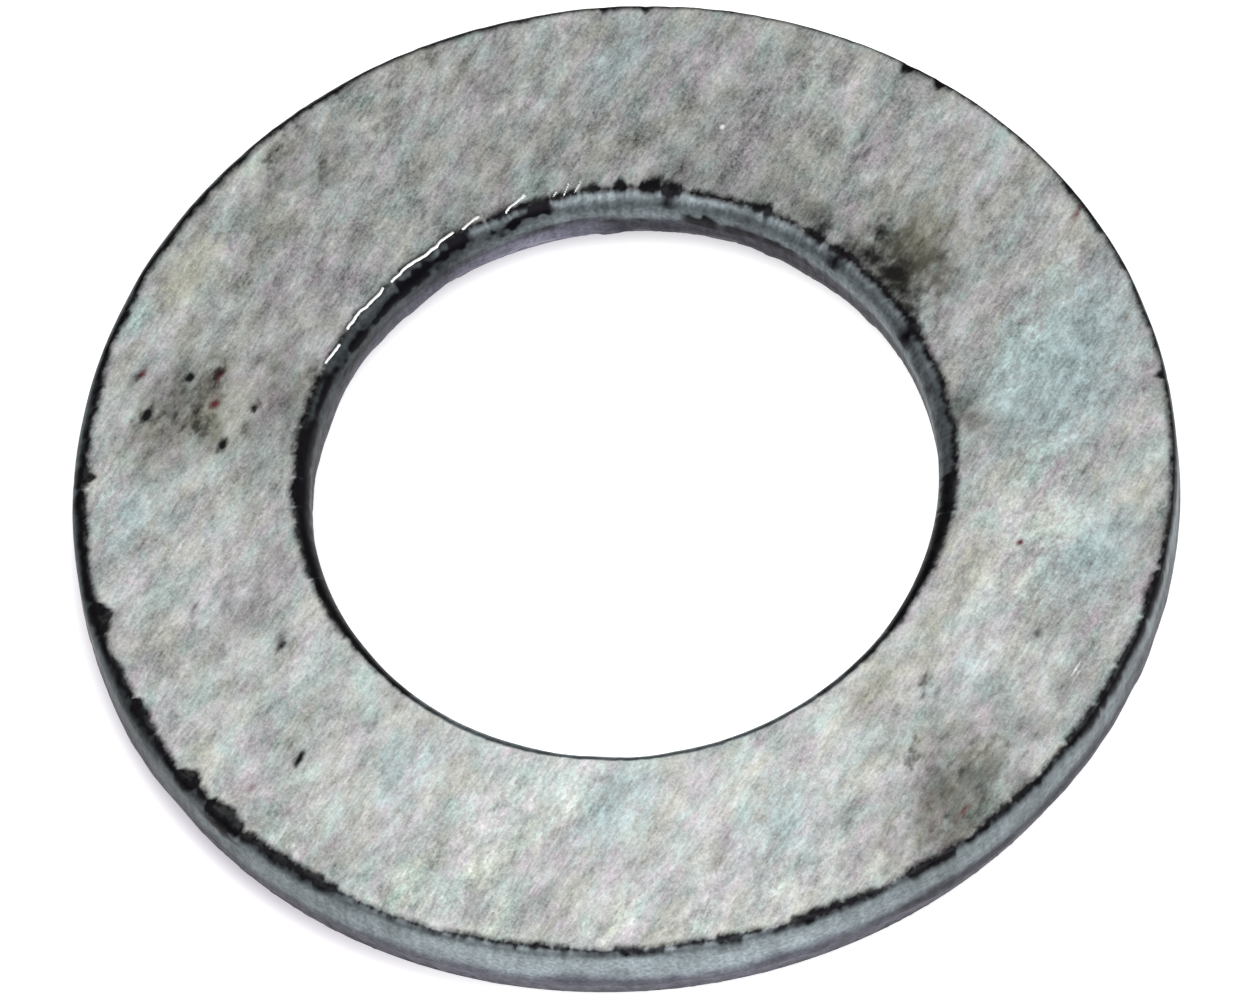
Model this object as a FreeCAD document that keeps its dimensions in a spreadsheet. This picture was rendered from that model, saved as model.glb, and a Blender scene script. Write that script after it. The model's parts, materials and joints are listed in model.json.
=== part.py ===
import FreeCAD, Part
import os

import Sketcher

# A flat washer for an M20 bolt, stamped from steel strip: one solid ring, in millimetres.
#
# The ring's axis is Z and the origin is the centre of the bore in the lower bearing face. The bore and the
# rim are cut in one stroke from the top, so both walls read the same way going down: a rolled-in edge, a
# smooth sheared land, and a fracture zone that leans away from the land to a tumbled lower edge.

PARTS_FOLDER = "parts"
ROOT_POINT = (-1, 1)
START = 1
END = 2

# name, value in millimetres, what it is
SIZES = [
    ("bore_diameter", 21.2, "across the sheared land: a free fit on an M20 bolt"),
    ("outer_diameter", 37.0, "across the rim's sheared land"),
    ("thickness", 3.1, "between the two bearing faces"),
    ("rim_roll", 0.3, "radius of the rim's rolled-in top edge"),
    ("rim_fracture_height", 1.2, "height of the rim's fracture zone above the lower face"),
    ("rim_fracture_inset", 0.45, "how far the rim's fracture zone leans in at its foot"),
    ("bore_roll", 0.7, "radius of the bore's rolled-in top edge"),
    ("bore_fracture_height", 1.5, "height of the bore's fracture zone above the lower face"),
    ("bore_fracture_flare", 0.9, "how far the bore's fracture zone opens out at its foot"),
    ("edge_break", 0.1, "tumbled break along both edges of the lower face"),
]

# corner of the half-section: its radius and its height, as formulas of the sheet's cells, anticlockwise
BORE = "sizes.bore_diameter / 2"
RIM = "sizes.outer_diameter / 2"
CORNERS = {
    "bore_foot": (f"{BORE} + sizes.bore_fracture_flare", None),
    "rim_foot": (f"{RIM} - sizes.rim_fracture_inset", None),
    "rim_land": (RIM, "sizes.rim_fracture_height"),
    "rim_top": (RIM, "sizes.thickness"),
    "bore_top": (BORE, "sizes.thickness"),
    "bore_land": (BORE, "sizes.bore_fracture_height"),
}


def size_sheet(doc):
    """The spreadsheet of driving dimensions, one aliased cell each."""
    sheet = doc.addObject("Spreadsheet::Sheet", "sizes")
    for row, (name, value, meaning) in enumerate(SIZES, start=1):
        sheet.set(f"A{row}", name)
        sheet.set(f"B{row}", str(value))
        sheet.set(f"C{row}", meaning)
        sheet.setAlias(f"B{row}", name)
    doc.recompute()
    return sheet


def origin_feature(body, role):
    """The body's own origin plane or axis of that role."""
    return next(feature for feature in body.Origin.OriginFeatures if feature.Role == role)


def first_guess(sheet):
    """Where each corner is drawn before its constraints take hold."""
    bore, rim = sheet.bore_diameter / 2, sheet.outer_diameter / 2
    return {
        "bore_foot": (bore + sheet.bore_fracture_flare, 0.0),
        "rim_foot": (rim - sheet.rim_fracture_inset, 0.0),
        "rim_land": (rim, sheet.rim_fracture_height),
        "rim_top": (rim, sheet.thickness),
        "bore_top": (bore, sheet.thickness),
        "bore_land": (bore, sheet.bore_fracture_height),
    }


def hold(sketch, name, kind, side, value, formula):
    """Dimensions the start of a side from the root point and binds that dimension to a formula."""
    index = sketch.addConstraint(Sketcher.Constraint(kind, *ROOT_POINT, side, START, value))
    sketch.renameConstraint(index, name)
    sketch.setExpression(f"Constraints.{name}", formula)


def half_section(body, sheet):
    """The ring's section on the XZ plane: one straight side per corner, starting at that corner."""
    sketch = body.newObject("Sketcher::SketchObject", "half_section")
    sketch.AttachmentSupport = [(origin_feature(body, "XZ_Plane"), "")]
    sketch.MapMode = "FlatFace"
    places = first_guess(sheet)
    names = list(CORNERS)
    sides = {}
    for name, following in zip(names, names[1:] + names[:1]):
        ends = [FreeCAD.Vector(*places[corner], 0) for corner in (name, following)]
        sides[name] = sketch.addGeometry(Part.LineSegment(*ends), False)
    for name, following in zip(names, names[1:] + names[:1]):
        sketch.addConstraint(Sketcher.Constraint("Coincident", sides[name], END, sides[following], START))
    for name in ("bore_foot", "rim_foot"):
        sketch.addConstraint(Sketcher.Constraint("PointOnObject", sides[name], START, -1))
    for name, (radius, height) in CORNERS.items():
        hold(sketch, f"{name}_radius", "DistanceX", sides[name], places[name][0], radius)
        if height:
            hold(sketch, f"{name}_height", "DistanceY", sides[name], places[name][1], height)
    return sketch


def edges_at(feature, height, nearest_radius=None):
    """The names of a feature's full circles at a height, or only the one nearest a radius."""
    found = []
    for number, edge in enumerate(feature.Shape.Edges, start=1):
        circle = edge.Curve
        if edge.Closed and isinstance(circle, Part.Circle) and abs(circle.Center.z - height) < 1e-6:
            found.append((circle.Radius, f"Edge{number}"))
    if nearest_radius is not None:
        found = [min(found, key=lambda each: abs(each[0] - nearest_radius))]
    return [name for _, name in found]


def dress(body, kind, name, base, edges, size_property, size):
    """A fillet or a chamfer on edges of the feature before it, its size bound to the sheet."""
    feature = body.newObject(kind, name)
    feature.Base = (base, edges)
    feature.setExpression(size_property, f"sizes.{size}")
    body.Tip = feature
    feature.Document.recompute()
    return feature


def washer(doc, sheet):
    """The washer's body: the half-section turned once round Z, then its edges rolled and broken."""
    body = doc.addObject("PartDesign::Body", "washer")
    body.Label = "washer"
    sketch = half_section(body, sheet)
    ring = body.newObject("PartDesign::Revolution", "ring")
    ring.Profile = sketch
    ring.ReferenceAxis = (sketch, ["V_Axis"])
    ring.Angle = 360
    doc.recompute()
    rim_edge = edges_at(ring, sheet.thickness, sheet.outer_diameter / 2)
    rim_roll = dress(body, "PartDesign::Fillet", "rim_rolled_edge", ring, rim_edge, "Radius", "rim_roll")
    bore_edge = edges_at(rim_roll, sheet.thickness, sheet.bore_diameter / 2)
    bore_roll = dress(body, "PartDesign::Fillet", "bore_rolled_edge", rim_roll, bore_edge, "Radius", "bore_roll")
    lower_edges = edges_at(bore_roll, 0)
    dress(body, "PartDesign::Chamfer", "lower_edge_break", bore_roll, lower_edges, "Size", "edge_break")
    return body


def check(doc, body, sheet):
    """Stops the build if anything failed to recompute or the ring isn't one sound solid of the right size."""
    for item in doc.Objects:
        if "Invalid" in item.State or "Error" in item.State:
            raise RuntimeError(f"{item.Label} did not recompute: {item.State}")
    shape = body.Shape
    if shape.isNull() or not shape.isValid() or len(shape.Solids) != 1:
        raise RuntimeError("the washer is not one valid solid")
    box = shape.optimalBoundingBox(False, False)
    for measured, wanted in (
        (box.XLength, sheet.outer_diameter),
        (box.YLength, sheet.outer_diameter),
        (box.ZLength, sheet.thickness),
        (box.ZMin, 0),
    ):
        if abs(measured - wanted) > 0.01:
            raise RuntimeError(f"the washer measures {measured} where {wanted} was wanted")


def main():
    doc = FreeCAD.newDocument("flat_washer")
    sheet = size_sheet(doc)
    body = washer(doc, sheet)
    doc.recompute()
    check(doc, body, sheet)
    os.makedirs(PARTS_FOLDER, exist_ok=True)
    body.Shape.exportStep(os.path.join(PARTS_FOLDER, f"{body.Label}.step"))
    print(f"{body.Label}: {body.Shape.Volume:.1f} mm3, {len(body.Shape.Faces)} faces")


main()
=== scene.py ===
import json
import math

import bpy
import numpy as np
from mathutils import Matrix, Vector


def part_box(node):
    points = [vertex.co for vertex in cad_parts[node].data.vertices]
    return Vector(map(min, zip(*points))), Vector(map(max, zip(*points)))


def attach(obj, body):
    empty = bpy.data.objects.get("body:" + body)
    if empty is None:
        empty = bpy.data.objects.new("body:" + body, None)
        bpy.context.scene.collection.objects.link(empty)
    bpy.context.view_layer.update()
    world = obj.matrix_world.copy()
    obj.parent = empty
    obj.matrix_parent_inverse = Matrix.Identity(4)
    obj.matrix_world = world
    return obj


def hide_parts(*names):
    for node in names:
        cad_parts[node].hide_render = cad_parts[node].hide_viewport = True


# A stamped, zinc-plated flat washer lying on a white table, seen from above at a slant.
#
# The CAD ring is replaced by a finer one: the same section turned round Z, with the uneven rolled edges,
# the torn fracture zones, the nicks and the burr that stamping and tumbling leave. Lengths are in
# millimetres until an object is made. Angles run anticlockwise from +X: the lists give them in degrees, and
# a value called angle is in radians.

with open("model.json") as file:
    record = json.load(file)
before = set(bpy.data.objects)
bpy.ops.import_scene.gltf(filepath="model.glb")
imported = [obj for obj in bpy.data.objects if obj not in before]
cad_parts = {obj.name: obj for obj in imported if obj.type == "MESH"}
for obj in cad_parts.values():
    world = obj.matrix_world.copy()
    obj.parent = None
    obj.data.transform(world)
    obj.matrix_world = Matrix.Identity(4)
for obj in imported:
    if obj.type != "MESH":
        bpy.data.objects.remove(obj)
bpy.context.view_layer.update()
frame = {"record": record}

MM = 0.001
TURN = 2 * math.pi

washer_low, washer_high = (np.array(corner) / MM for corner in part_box("washer"))
bore_mount = next(mount for mount in frame["record"]["mounts"] if mount["name"] == "bore")

RIM = (washer_high[0] - washer_low[0]) / 2
BORE = bore_mount["dims"]["r_mm"]
THICKNESS = washer_high[2] - washer_low[2]

# ---- the section ---------------------------------------------------------------------------------------

# rim: the rolled edge, how much wider it gets and where, then the torn zone's top, lean and change of lean
RIM_ROLL_WIDTH = 0.26
RIM_ROLL_WIDER = 0.14
RIM_ROLL_WIDEST = math.radians(205)
RIM_ROLL_DEPTH = 0.42
RIM_TORN_TOP = 1.2
RIM_TORN_INSET = 0.42
RIM_INSET_CHANGE = 0.07
RIM_INSET_LEAST = math.radians(225)

# rim: how far it is out of round, in three lobes that are strongest on one side
RIM_LOBE = 0.1
RIM_LOBE_PEAK = math.radians(210)
RIM_LOBE_SIDE = math.radians(230)

# bore: the rolled edge, how much wider and deeper it is on the far side and how much less so on the near
# side, and how much wider it is within some degrees of +X
BORE_ROLL_WIDTH = 0.50
BORE_ROLL_DEPTH = 0.62
BORE_FAR_WIDER = 0.16
BORE_FAR_DEEPER = 0.18
BORE_RIGHT_WIDER = 0.14
BORE_RIGHT_REACH = 28
BORE_TORN_TOP = 1.45
BORE_TORN_FLARE = 0.74

# bore: how much smaller it is than its gauge size, and how oval
BORE_TIGHTER = 0.05
BORE_OVAL = 0.05

# both: the lower edges' break, how far the torn wall is set back, the room that its foot leaves it, the
# ripples in the walls, and the burr
LOWER_BREAK = 0.10
TORN_SET_BACK = 0.02
FOOT_MARGIN = 0.03
RIPPLE = 0.008
LAND_RIPPLE = 0.004
BURR_HEIGHT = 0.03
BURR_WIDTH = 0.055
BORE_FOOT = BORE + BORE_TORN_FLARE + FOOT_MARGIN

# painted shade that darkens each wall towards its foot, over the torn zone and above it: how deep below the
# upper face it starts and is full
RIM_LOWER_SHADE_DEPTHS = (1.1, 1.7)
BORE_LOWER_SHADE_DEPTHS = (0.6, 0.9)

# the mesh: steps round the turn, and stations along the section as distances, tilts in degrees or shares
AROUND = 1440
RIM_FACE_STEPS = (0.8, 0.5, 0.3, 0.18, 0.08)
RIM_ROLL_TILTS = (0, 16, 30, 42, 54, 66, 78, 90)
RIM_LAND_SHARES = (0.2, 0.4, 0.6, 0.8, 1.0)
TORN_SHARES = (0.12, 0.26, 0.42, 0.58, 0.74, 0.88, 1.0)
BREAK_TILTS = (35, 70)
LOWER_FACE_SHARES = (0.0, 0.33, 0.66, 1.0)
BORE_LAND_SHARES = (1.0, 0.75, 0.5, 0.25)
BORE_ROLL_TILTS = (90, 78, 67, 57, 47, 38, 29, 21, 14, 8, 3, 0)
BORE_FACE_STEPS = (0.05, 0.10, 0.16, 0.22, 0.29, 0.45, 0.8)
UPPER_FACE_SHARES = (0.2, 0.4, 0.6, 0.8)

# ---- what stamping, plating and handling left on it, and the light and shade painted on it -------------

# painted shade: the black line stands for the dark reflection of each rolled edge, thicker at the nicks
# black line along an edge: from, to (degrees), reach over the face and depth down the wall (mm)
RIM_SHADE_LINE = [
    (180, 360, -0.07, 0.14), (90, 180, -0.02, 0.10), (-10, 22, 0.00, 0.16), (22, 30, 0.08, 0.2),
    (30, 46, -0.03, 0.12), (46, 53, 0.04, 0.16), (53, 80, -0.06, 0.10), (80, 86, 0.03, 0.14),
    (86, 115, -0.05, 0.10), (115, 170, 0.02, 0.16), (169.5, 172.5, 0.16, 0.3), (172.5, 186.5, 0.08, 0.30),
    (186.5, 190.5, 0.24, 0.34), (190.5, 199, 0.04, 0.22), (199, 204, 0.12, 0.30), (204, 209, 0.04, 0.20),
    (209, 212, 0.18, 0.36), (212, 214, 0.06, 0.26), (214, 219.3, 0.20, 0.46), (219.3, 232, 0.09, 0.28),
    (232, 246, -0.05, 0.12), (246, 253, -0.01, 0.14), (253, 258, 0.04, 0.20), (258, 262, -0.02, 0.14),
    (262, 268, 0.04, 0.20), (268, 272.5, -0.02, 0.14), (273, 276, 0.04, 0.26), (276, 281, -0.03, 0.06),
    (281, 287, 0.08, 0.26), (287, 291, 0.03, 0.22), (291, 294.2, -0.03, 0.06), (294.2, 300.4, 0.08, 0.26),
    (300.4, 308, 0.00, 0.16), (308.3, 312.5, 0.06, 0.24), (312.5, 317, 0.0, 0.14), (317, 322.5, 0.12, 0.30),
    (322.5, 327.5, 0.08, 0.24), (327.5, 334, 0.10, 0.26), (334, 340, 0.13, 0.28), (340, 358, 0.05, 0.18),
]
BORE_SHADE_LINE = [
    (-20, 96, 0.00, 0.07), (-10, 19, 0.04, 0.14), (19, 25, 0.10, 0.20), (25, 41, 0.12, 0.10),
    (41, 45, 0.10, 0.16), (46, 50.5, 0.14, 0.20), (50.5, 57, 0.00, 0.08), (57, 60.8, 0.14, 0.16),
    (62, 72, 0.08, 0.08), (73.2, 77, 0.14, 0.30), (77, 80.8, 0.22, 0.18), (82.6, 85.2, 0.16, 0.20),
    (85.2, 87, 0.02, 0.08), (87, 91, 0.12, 0.12), (91, 96, 0.05, 0.14), (96, 108, 0.02, 0.16),
    (108, 126, 0.00, 0.14), (126, 150, -0.02, 0.08), (150, 161, 0.03, 0.14), (161, 171, 0.02, 0.40),
    (171, 177, 0.04, 0.2), (177, 192, 0.07, 0.40), (192, 206, 0.00, 0.6), (206, 222, -0.08, 0.4),
    (222, 300, -0.2, 0.1), (300, 318, -0.12, 0.3), (318, 344, -0.02, 0.6), (344, 352, 0.04, 0.6),
]
# its reach and depth outside every stretch, what is added to each all round, and how much of it is lost
# with each mm down a wall
LINE_REACH_OUTSIDE = -0.2
LINE_DEPTH_OUTSIDE = -0.1
LINE_REACH_ADDED = 0.05
LINE_DEPTH_ADDED = 0.03
LINE_THINS = 0.5

# nicks struck into an edge: angle (degrees), width and depth (mm)
RIM_NICKS = [
    (3.6, 0.36, 0.22), (47.8, 0.40, 0.20), (51.8, 0.46, 0.30), (81, 0.3, 0.12), (85.4, 0.3, 0.12),
    (171, 0.4, 0.24), (188.2, 0.5, 0.26), (210.4, 0.5, 0.14), (216.6, 1.2, 0.14), (225, 0.4, 0.08),
    (229.5, 0.3, 0.08),
]
BORE_NICKS = [
    (22.3, 0.35, 0.12), (41.1, 0.35, 0.12), (48, 0.3, 0.15), (58, 0.3, 0.12), (74.5, 0.5, 0.14),
    (78.5, 0.4, 0.14), (83.8, 0.32, 0.15), (88.6, 0.3, 0.1),
]
# how much of a nick's depth the painted shade line gains over the face and down the wall
RIM_NICK_REACH = 0.9
BORE_NICK_REACH = 0.6
NICK_LINE_DEPTH = 0.5

# burr along the bore's upper edge, raised a little and painted white as a glint: from, to (degrees), and
# how far past the edge onto the face it stands at each end (mm)
BORE_BURR_GLINT = [
    (90.3, 91.8, 0.34, -0.06), (92.3, 93.8, 0.34, -0.06), (94.5, 95.6, 0.22, 0.02),
    (99.8, 104.2, 0.32, -0.08), (108.4, 112.2, 0.22, -0.02), (113.6, 119.0, 0.02, -0.04),
    (117.0, 128.0, -0.04, -0.10), (129.6, 140.0, -0.06, -0.06), (143.0, 147.6, -0.10, -0.02),
]
# dark patches on a wall: from, to (degrees), depth below the upper face at each end, height at each end
# (mm), strength
RIM_DARK_PATCHES = [
    (184, 214, 0.9, 0.9, 1.4, 1.4, 0.25), (214, 219.5, 0.4, 0.4, 0.3, 0.3, 0.7),
    (272, 277, 0.45, 0.4, 0.35, 0.45, 0.35), (292, 308, 1.6, 1.7, 0.7, 0.7, 0.4),
    (308, 326, 1.6, 1.6, 0.6, 0.6, 0.35), (326, 345, 1.2, 1.2, 0.6, 0.6, 0.4),
]
BORE_DARK_PATCHES = [
    (96, 108.5, 0.10, 0.30, 0.24, 0.14, 1.0), (111.6, 129, 0.14, 0.28, 0.34, 0.16, 1.0),
    (104, 122, 0.40, 0.45, 0.2, 0.2, 0.6), (118, 150, 0.36, 0.30, 0.30, 0.2, 0.85),
    (146, 163, 0.22, 0.20, 0.2, 0.3, 0.7), (134, 152, 0.80, 0.70, 0.25, 0.2, 0.5),
    (160, 193, 0.25, 0.25, 0.5, 0.5, 0.7), (50, 58, 0.85, 0.85, 0.5, 0.55, 0.75),
    (58, 66, 0.85, 0.8, 0.45, 0.3, 0.6), (66, 72.8, 0.78, 0.75, 0.5, 0.65, 0.85),
    (74.5, 77, 0.16, 0.16, 0.3, 0.3, 0.7), (79, 82, 0.95, 0.95, 0.3, 0.3, 0.5),
    (84, 87.5, 1.0, 1.0, 0.35, 0.35, 0.6), (41, 44, 0.15, 0.15, 0.3, 0.3, 0.7),
    (20.5, 23.5, 0.25, 0.25, 0.4, 0.4, 0.8), (-8, 18, 0.5, 0.3, 0.4, 0.2, 0.4),
    (24, 40, 0.9, 0.9, 0.4, 0.4, 0.35), (44, 50, 0.9, 0.9, 0.4, 0.4, 0.5),
    (92, 100, 0.8, 0.8, 0.3, 0.3, 0.4),
]
# painted light and shade on a wall, lighter or darker by the way it faces: angle (degrees), tone
RIM_WALL_SHADING = [
    (0, 0.5), (180, 0.26), (205, 0.30), (225, 0.55), (242, 0.9), (252, 1.0), (280, 1.0), (296, 0.68),
    (330, 0.60), (360, 0.5),
]
BORE_WALL_SHADING = [
    (0, 0.45), (30, 0.62), (60, 0.64), (90, 0.7), (104, 0.55), (118, 0.26), (150, 0.18), (180, 0.2),
    (215, 0.3), (235, 0.75), (300, 0.75), (320, 0.45), (360, 0.45),
]
# painted light and shade at the foot of the bore's wall: where it is lighter (degrees), by how much, how
# much darker it is elsewhere, and the depths between which that comes in
FOOT_LIGHT_SPAN = (92, 158)
FOOT_LIGHTER = 3.0
FOOT_DARKER = 0.4
FOOT_LOOK = (0.8, 1.3)

# direction of the steel's grain (degrees)
GRAIN = 54

# marks on the upper face: angle (degrees), radius, length along the grain and width (mm), strength
# black specks
SOOT = [
    (162.5, 16.25, 0.55, 0.28, 1.0), (156.2, 15.2, 0.42, 0.30, 1.0), (165.6, 13.55, 0.55, 0.28, 1.0),
    (163.2, 14.5, 0.8, 0.35, 0.5), (159, 12.8, 0.5, 0.4, 0.8), (154.9, 14.35, 0.7, 0.28, 0.6),
    (160.5, 14.6, 0.9, 0.4, 0.5), (162, 15.3, 0.5, 0.3, 0.5), (157.5, 16.9, 0.4, 0.25, 0.5),
    (164, 15.0, 0.5, 0.3, 0.5), (217.3, 15.0, 0.62, 0.22, 0.9), (201.2, 12.9, 0.4, 0.2, 0.7),
    (190.6, 15.0, 0.55, 0.14, 0.6), (197.3, 15.6, 0.5, 0.2, 0.45), (194.0, 14.8, 0.3, 0.2, 0.35),
    (205.5, 13.0, 0.3, 0.18, 0.4), (51.6, 15.2, 0.7, 0.26, 0.6), (49.8, 14.8, 0.45, 0.2, 0.5),
    (39.6, 12.6, 0.5, 0.4, 0.6), (48.2, 11.6, 0.6, 0.45, 0.7), (77.5, 11.6, 0.7, 0.4, 0.6),
    (43, 11.6, 0.8, 0.4, 0.5), (328, 15.25, 0.7, 0.3, 0.4), (125.0, 17.6, 1.3, 0.4, 0.4),
    (122.2, 16.2, 0.5, 0.3, 0.45), (303.8, 14.7, 0.8, 0.4, 0.35), (313.4, 13.1, 0.9, 0.5, 0.45),
    (126.8, 13.2, 0.4, 0.3, 0.35),
]
# dark smudges, mostly round the specks and beside the bore
SMUDGE = [
    (29.6, 11.65, 0.8, 1.5, 1.1), (33.6, 11.75, 0.9, 1.7, 1.15), (37.8, 11.7, 0.8, 1.5, 1.15),
    (41.5, 11.55, 0.8, 1.0, 0.85), (26.5, 11.4, 0.8, 1.0, 0.85), (33.5, 12.4, 1.4, 2.0, 0.7),
    (39.5, 12.6, 1.0, 0.8, 0.6), (48.5, 11.5, 1.1, 0.8, 0.65), (59, 11.5, 0.9, 0.7, 0.5),
    (77.5, 11.5, 1.2, 0.8, 0.6), (84, 11.4, 0.8, 0.6, 0.5), (161.4, 15.6, 1.3, 0.45, 0.6),
    (159.6, 14.9, 1.5, 0.4, 0.6), (163.4, 14.4, 1.2, 0.5, 0.6), (157.2, 15.3, 1.1, 0.35, 0.5),
    (158.6, 12.8, 0.9, 0.6, 0.6), (156.6, 14.3, 1.0, 0.5, 0.55), (165, 15.4, 1.0, 0.4, 0.45),
    (124.8, 17.3, 2.0, 0.7, 0.55), (122, 16.2, 0.9, 0.6, 0.5), (51.5, 15.2, 1.0, 0.4, 0.55),
    (302, 17.2, 1.6, 0.8, 0.5), (306, 16.4, 1.4, 0.8, 0.45), (303.5, 14.8, 1.2, 0.7, 0.5),
    (313.4, 13.1, 1.2, 0.8, 0.55), (328, 15.2, 1.0, 0.5, 0.5), (221, 11.7, 1.4, 0.8, 0.5),
    (189, 17.6, 1.0, 0.5, 0.6), (184, 11.7, 1.6, 0.8, 0.45), (195, 15.0, 1.0, 0.4, 0.4),
    (200.6, 12.9, 0.8, 0.5, 0.45), (217.2, 15.0, 0.9, 0.5, 0.55), (253.6, 16.2, 1.0, 0.7, 0.45),
]
# red-brown specks
RUST = [
    (157.2, 16.8, 0.42, 0.24, 0.8), (159.3, 14.1, 0.4, 0.25, 0.8), (155.0, 14.3, 0.45, 0.25, 0.8),
    (158.6, 12.7, 0.4, 0.3, 0.6), (26, 18.15, 1.6, 0.3, 0.6), (340.4, 13.6, 0.25, 0.2, 0.7),
    (304, 17.4, 1.2, 0.3, 0.5), (216.2, 16.95, 0.6, 0.3, 0.5),
]
# broad grey haze
HAZE = [
    (160.5, 14.9, 4.6, 3.2, 0.62), (52, 11.9, 1.5, 3.2, 0.45), (70, 11.8, 1.4, 3.2, 0.42),
    (90, 11.7, 1.3, 3.0, 0.35), (33, 12.7, 2.8, 3.4, 0.75), (60, 11.9, 2.6, 1.2, 0.35),
    (304, 16.9, 5.4, 2.8, 0.8), (155, 12.0, 6.0, 4.4, 0.42), (3, 11.5, 1.6, 2.6, 0.6),
    (318, 17.2, 3.4, 1.6, 0.4), (308, 15.2, 3.8, 2.4, 0.5), (125, 17.1, 2.8, 1.2, 0.6),
    (122, 16.1, 1.6, 1.0, 0.5), (253.6, 16.2, 2.0, 1.2, 0.3), (220, 11.9, 2.4, 1.3, 0.35),
    (352, 16.6, 2.6, 1.4, 0.25), (345, 17.4, 1.8, 1.2, 0.3), (110, 12.2, 3.0, 1.6, 0.2),
    (98, 16.4, 2.4, 1.2, 0.25), (72, 12.2, 3.2, 1.2, 0.3), (195, 13.6, 3.2, 1.5, 0.3),
    (328, 15.4, 2.2, 1.2, 0.3),
]
# yellowish, bluish and pinkish tints of the plating
OLIVE = [
    (160, 14.6, 5.0, 3.2, 0.5), (143, 17.0, 3.2, 1.6, 0.7), (133, 15.6, 2.6, 1.4, 0.6),
    (34, 13.0, 4.0, 2.0, 0.7), (335, 12.1, 3.4, 1.6, 0.5), (308, 11.9, 3.4, 1.4, 0.6),
    (322, 12.0, 3.0, 1.4, 0.5), (57, 13.4, 3.0, 2.0, 0.5), (100, 13.5, 2.5, 2.0, 0.3),
    (350, 17.3, 1.6, 1.0, 0.5), (208, 17.2, 2.0, 1.2, 0.4),
]
CYAN = [
    (8, 15.1, 5.4, 3.6, 0.95), (16, 16.6, 3.0, 1.6, 0.6), (284, 14.5, 4.2, 2.6, 0.5),
    (340, 15.8, 4.2, 2.4, 0.7), (262, 12.6, 3.4, 1.8, 0.6), (150, 17.7, 2.2, 0.8, 0.6),
    (230, 13.0, 3.6, 2.2, 0.45), (176, 16.6, 3.0, 2.0, 0.6), (84, 16.2, 3.2, 1.6, 0.5),
    (320, 14.0, 2.4, 1.6, 0.4),
]
MAUVE = [
    (66, 13.2, 4.4, 2.8, 0.45), (190, 13.4, 4.0, 3.0, 0.45), (216, 16.9, 2.2, 1.2, 0.5),
    (100, 15.4, 4.0, 2.4, 0.4), (275, 16.0, 3.2, 2.2, 0.4), (45, 16.2, 3.4, 2.2, 0.4),
    (140, 13.2, 3.4, 2.4, 0.45), (22, 13.6, 2.6, 1.4, 0.5),
]
# where the plating is lighter; the strip just inside the rim from 128 to 281 degrees is a painted highlight
PALE_AND_HIGHLIGHT = [
    (238, 17.2, 3.4, 1.6, 0.75), (246, 15.8, 3.0, 2.0, 0.5), (250, 17.3, 2.4, 1.2, 0.7),
    (262, 17.4, 2.6, 1.0, 0.7), (272, 17.3, 2.0, 1.0, 0.6), (150, 17.7, 1.6, 0.5, 0.7),
    (128, 17.8, 1.8, 0.4, 0.5), (172, 17.2, 2.0, 0.8, 0.6), (224, 17.1, 2.0, 0.8, 0.5),
    (281, 16.8, 2.4, 1.0, 0.6), (245, 14.0, 4.0, 3.0, 0.45), (256, 12.3, 3.0, 1.2, 0.5),
    (342, 14.2, 4.0, 2.6, 0.65), (352, 13.4, 3.0, 2.0, 0.4), (12, 14.2, 3.0, 1.6, 0.5),
    (60, 16.6, 3.0, 1.6, 0.4), (92, 16.8, 3.0, 1.0, 0.4), (20, 16.0, 2.4, 1.4, 0.4),
]
# bare metal: scratches and dings
SHINE = [
    (69.5, 13.9, 0.2, 0.18, 1.0), (149.3, 16.3, 1.4, 0.09, 0.6), (325.7, 17.05, 0.9, 0.10, 0.8),
    (324.9, 17.2, 0.5, 0.08, 0.7), (181, 14.2, 0.5, 0.12, 0.8), (12, 16.9, 0.8, 0.12, 0.6),
    (8, 13.4, 0.9, 0.10, 0.7), (350, 14.9, 1.1, 0.10, 0.7), (5, 14.0, 0.7, 0.1, 0.6),
    (47, 16.6, 1.0, 0.10, 0.5), (34, 15.5, 1.0, 0.1, 0.5), (64, 13.6, 0.5, 0.12, 0.6),
]


def eased(share):
    """A share from 0 to 1 that starts and ends gently."""
    return share * share * (3 - 2 * share)


def share_between(value, start, end):
    """0 below one value, 1 above another, smooth between them."""
    return eased(np.clip((value - start) / (end - start), 0, 1))


def turn_from(degrees, place):
    """How many degrees each angle is past a place, the short way round."""
    return (degrees - place + 180) % 360 - 180


def along(degrees, start, end, soft=1.0):
    """1 between two angles, falling to 0 over a soft margin in degrees."""
    inside = (end - start) / 2 - np.abs(turn_from(degrees, (start + end) / 2))
    return np.clip(inside / soft + 0.5, 0, 1)


def ring_noise(angle, cells, seed):
    """Smooth noise round the ring, from -1 to 1, with a whole number of cells in the turn."""
    values = np.random.default_rng(seed).uniform(-1, 1, cells)
    place = (angle / TURN % 1) * cells
    cell = np.floor(place).astype(int)
    blend = eased(place - cell)
    return values[cell % cells] * (1 - blend) + values[(cell + 1) % cells] * blend


def uneven(angle, level, *noises):
    """A level made uneven round the ring. Each noise has its amount, its cells in the turn and its seed."""
    for amount, cells, seed in noises:
        level = level + amount * ring_noise(angle, cells, seed)
    return level


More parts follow.
